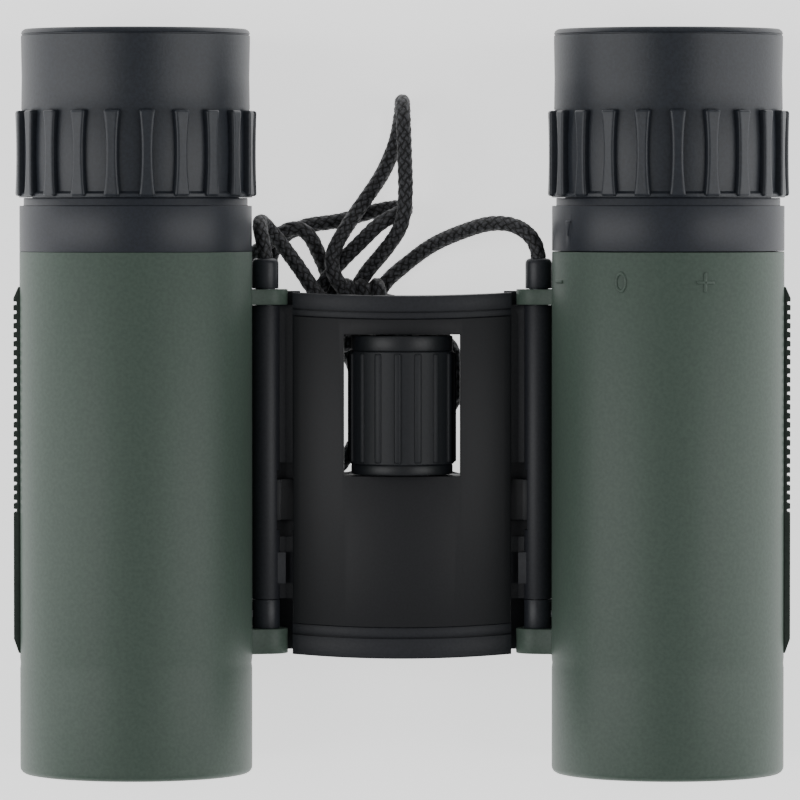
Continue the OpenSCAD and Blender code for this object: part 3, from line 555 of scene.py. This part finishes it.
# ---------- Hinges ----------
# Black acetal bushes and strap posts on hollow steel pins. Acetal is waxy and slightly glossy,
# with a crisp narrow light down each post; the ground pins show only at their ends.
acetal, tree, shader = material("moulded_black_acetal", "#2b2e34", Roughness=0.4, IOR=1.48)
mottle(tree, shader, "#272a30", "#2f3238", grain(tree, shader, 0.42, 0.25, 0.04))
steel, tree, shader = material("ground_steel", "#9a9da1", Roughness=0.3, Metallic=1.0)
mottle(tree, shader, "#8d9094", "#a6a9ad", grain(tree, shader, 0.55, 0.1, 0.02))
for side in ("left", "right"):
    finish_node(f"{side}_hinge_post", "bridge", acetal, edge=0.08)
    finish_node(f"{side}_hinge_bush", f"{side}_barrel", acetal, edge=0.1)
    finish_node(f"{side}_hinge_sleeve", "bridge", steel, edge=0.04)

# ---------- Cover screws ----------
# Four zinc-plated cross-head screws hold the underside cover.
finish_node("cover_screws", "bridge", steel, edge=0.08)

# ---------- Focus wheel ----------
# A plastic hub with a collar at each end and a rubber band over it, with sixteen round-ended
# ribs. It turns on a steel screw. The rubber is a touch flatter than the nylon collars.
wheel_plastic, tree, shader = material("moulded_black_nylon", "#181a1f", Roughness=0.45, IOR=1.53)
mottle(tree, shader, "#15171c", "#1b1e23", grain(tree, shader, 0.42, 0.3, 0.04))
wheel_rubber, tree, shader = material("black_wheel_rubber", "#191c21", Roughness=0.55, IOR=1.52)
mottle(tree, shader, "#171a1f", "#1d2026", grain(tree, shader, 0.38, 0.35, 0.05))
finish_node("wheel_hub", "focus_wheel", wheel_plastic, edge=0.25)
finish_node("focus_screw", "focus_wheel", steel, edge=0.1)
grip_low, grip_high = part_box("wheel_grip")
y0, y1 = grip_low[1] / MM, grip_high[1] / MM
screw_low, screw_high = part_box("focus_screw")
wheel_z = round((screw_low[2] + screw_high[2]) / 2 / MM, 2)
inner_r, edge_r, band_r, round_off = 6.6, 7.3, 7.45, 0.15
wheel_ribs, wheel_turn = 16, -4.7
band = lathe(
    "wheel_band",
    [
        (inner_r, y0), (edge_r, y0), (band_r, y0 + round_off),
        (band_r, y1 - round_off), (edge_r, y1), (inner_r, y1),
    ],
    0,
    wheel_z,
    wheel_rubber,
)
ribs = []
for i in range(wheel_ribs):
    rib = bar_mesh("rib", (1.0, y1 - y0 - 0.5, 0.9), radius=0.28)
    place = (
        Matrix.Translation((0, (y0 + y1) / 2 * MM, wheel_z * MM))
        @ Matrix.Rotation(math.radians(360 / wheel_ribs * i + wheel_turn), 4, "Y")
        @ Matrix.Translation((0, 0, edge_r * MM))
    )
    ribs.append(settle(rib, place, wheel_rubber))
band = join([band] + ribs, "wheel_rubber")
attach(band, "focus_wheel")
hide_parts("wheel_grip")

# ---------- Focus carriage ----------
# A nylon yoke on the screw, whose arms reach the steel rods inside the hinges.
finish_node("focus_yoke", "focus_carriage", wheel_plastic, edge=0.1)
for side in ("left", "right"):
    finish_node(f"{side}_focus_rod", "focus_carriage", steel, edge=0.03)

# ---------- Objectives ----------
# Cemented doublets in black cells behind fixed bezels. The cells are anodised flat black, which
# swallows nearly all light; the front glass has a green coating that tints its reflections, and this
# green reflection is also painted into the glass towards its glancing edges.
flat_black, tree, shader = material("anodised_flat_black", "#15161a", Roughness=0.6)
mottle(tree, shader, "#131418", "#181a1e", grain(tree, shader, 0.36, 0.2, 0.03))


def optical_glass(name, tint, coat_and_painted_reflection_tint):
    """Clear optical glass with a tinted coat. The coating's reflection colour is painted into the glass
    towards its glancing edges.
    """
    made, tree, shader = material(name, tint, Roughness=0.02, IOR=1.52)
    shader.inputs["Transmission Weight"].default_value = 1.0
    shader.inputs["Coat Weight"].default_value = 0.6
    shader.inputs["Coat Roughness"].default_value = 0.02
    shader.inputs["Coat Tint"].default_value = linear(coat_and_painted_reflection_tint)
    # Painted reflection: towards glancing angles the glass's colour turns to the coating's colour
    facing = add(tree, "ShaderNodeLayerWeight", {"Blend": 0.35})
    tones = add(tree, "ShaderNodeValToRGB", {"Fac": facing.outputs["Facing"]})
    tones.color_ramp.elements[0].color = linear(tint)
    tones.color_ramp.elements[1].color = linear(coat_and_painted_reflection_tint)
    wire(tree, tones.outputs[0], shader.inputs["Base Color"])
    return made


front_glass = optical_glass("green_coated_optical_glass", "#dfeee6", "#8fc9a6")
plain_glass = optical_glass("blue_coated_optical_glass", "#e3e9f2", "#98a8da")
for side in ("left", "right"):
    body = f"{side}_objective"
    finish_node(f"{side}_objective_bezel", f"{side}_barrel", flat_black)
    finish_node(f"{side}_objective_cell", body, flat_black, edge=0.08)
    finish_node(f"{side}_lock_ring", body, flat_black, edge=0.08)
    finish_node(f"{side}_follower", body, steel, edge=0.08)
    finish_node(f"{side}_crown_lens", body, front_glass, edge=0)
    finish_node(f"{side}_flint_lens", body, plain_glass, edge=0)

# ---------- Prisms ----------
# A roof prism and a half prism of plain glass in each barrel, held in an aluminium cage by a
# steel spring clip.
for side in ("left", "right"):
    body = f"{side}_barrel"
    finish_node(f"{side}_prism_holder", body, flat_black, edge=0.08)
    finish_node(f"{side}_roof_prism", body, plain_glass, edge=0.1)
    finish_node(f"{side}_half_prism", body, plain_glass, edge=0.1)
    finish_node(f"{side}_prism_clip", body, steel, edge=0.03)

# ---------- Eyepieces ----------
# Black tubes that carry the ocular cells, whose lenses are coated blue. The right cell slides
# on a steel cam pin.
for side, body in (("left", "left_barrel"), ("right", "right_ocular")):
    finish_node(f"{side}_eyepiece_tube", f"{side}_barrel", flat_black, edge=0.08)
    finish_node(f"{side}_ocular_cell", body, flat_black, edge=0.08)
    finish_node(f"{side}_ocular_ring", body, flat_black, edge=0.08)
    finish_node(f"{side}_field_lens", body, plain_glass, edge=0)
    finish_node(f"{side}_eye_lens", body, plain_glass, edge=0)
finish_node("cam_pin", "right_ocular", steel, edge=0.05)

# ---------- Hank tie ----------
# A band of black hook-and-loop tape round the wound cord. Its nap is rough and quite matt.
tape, tree, shader = material("hook_and_loop_tape", "#141517", Roughness=0.85)
mottle(tree, shader, "#101113", "#1c1d20", grain(tree, shader, 0.29, 0.9, 0.15))
finish_node("strap_tie", "bridge", tape, edge=0.12)

# ---------- Table and light ----------
# A white table that glows a little, a soft box to each side, and a pale room.
table_top, tree, shader = material("white_table", "#ffffff", Roughness=0.9)
shader.inputs["Emission Color"].default_value = (1, 1, 1, 1)
shader.inputs["Emission Strength"].default_value = 1.2
bpy.ops.object.select_all(action="DESELECT")
bpy.ops.mesh.primitive_plane_add(size=4, location=(0, 0, -0.0002))
table = bpy.context.object
table.name = "table"
table.data.materials.append(table_top)


def soft_box(name, place, size, power):
    """An area light that faces the middle of the pair. Place in metres."""
    bpy.ops.object.light_add(type="AREA", location=place)
    lamp = bpy.context.object
    lamp.name = name
    lamp.data.shape = "RECTANGLE"
    lamp.data.size, lamp.data.size_y = size
    lamp.data.energy = power
    aim = Vector((0, 0, 0.015)) - Vector(place)
    lamp.rotation_euler = aim.to_track_quat("-Z", "Y").to_euler()
    return lamp


soft_box("left_box", (-0.85, 0.0, 0.6), (0.5, 1.3), 5.4)
soft_box("right_box", (0.9, 0.0, 0.55), (0.5, 1.3), 5.2)
world = bpy.data.worlds.new("pale_room")
bpy.context.scene.world = world
world.use_nodes = True
world.node_tree.nodes["Background"].inputs["Color"].default_value = (1, 1, 1, 1)
world.node_tree.nodes["Background"].inputs["Strength"].default_value = 0.26
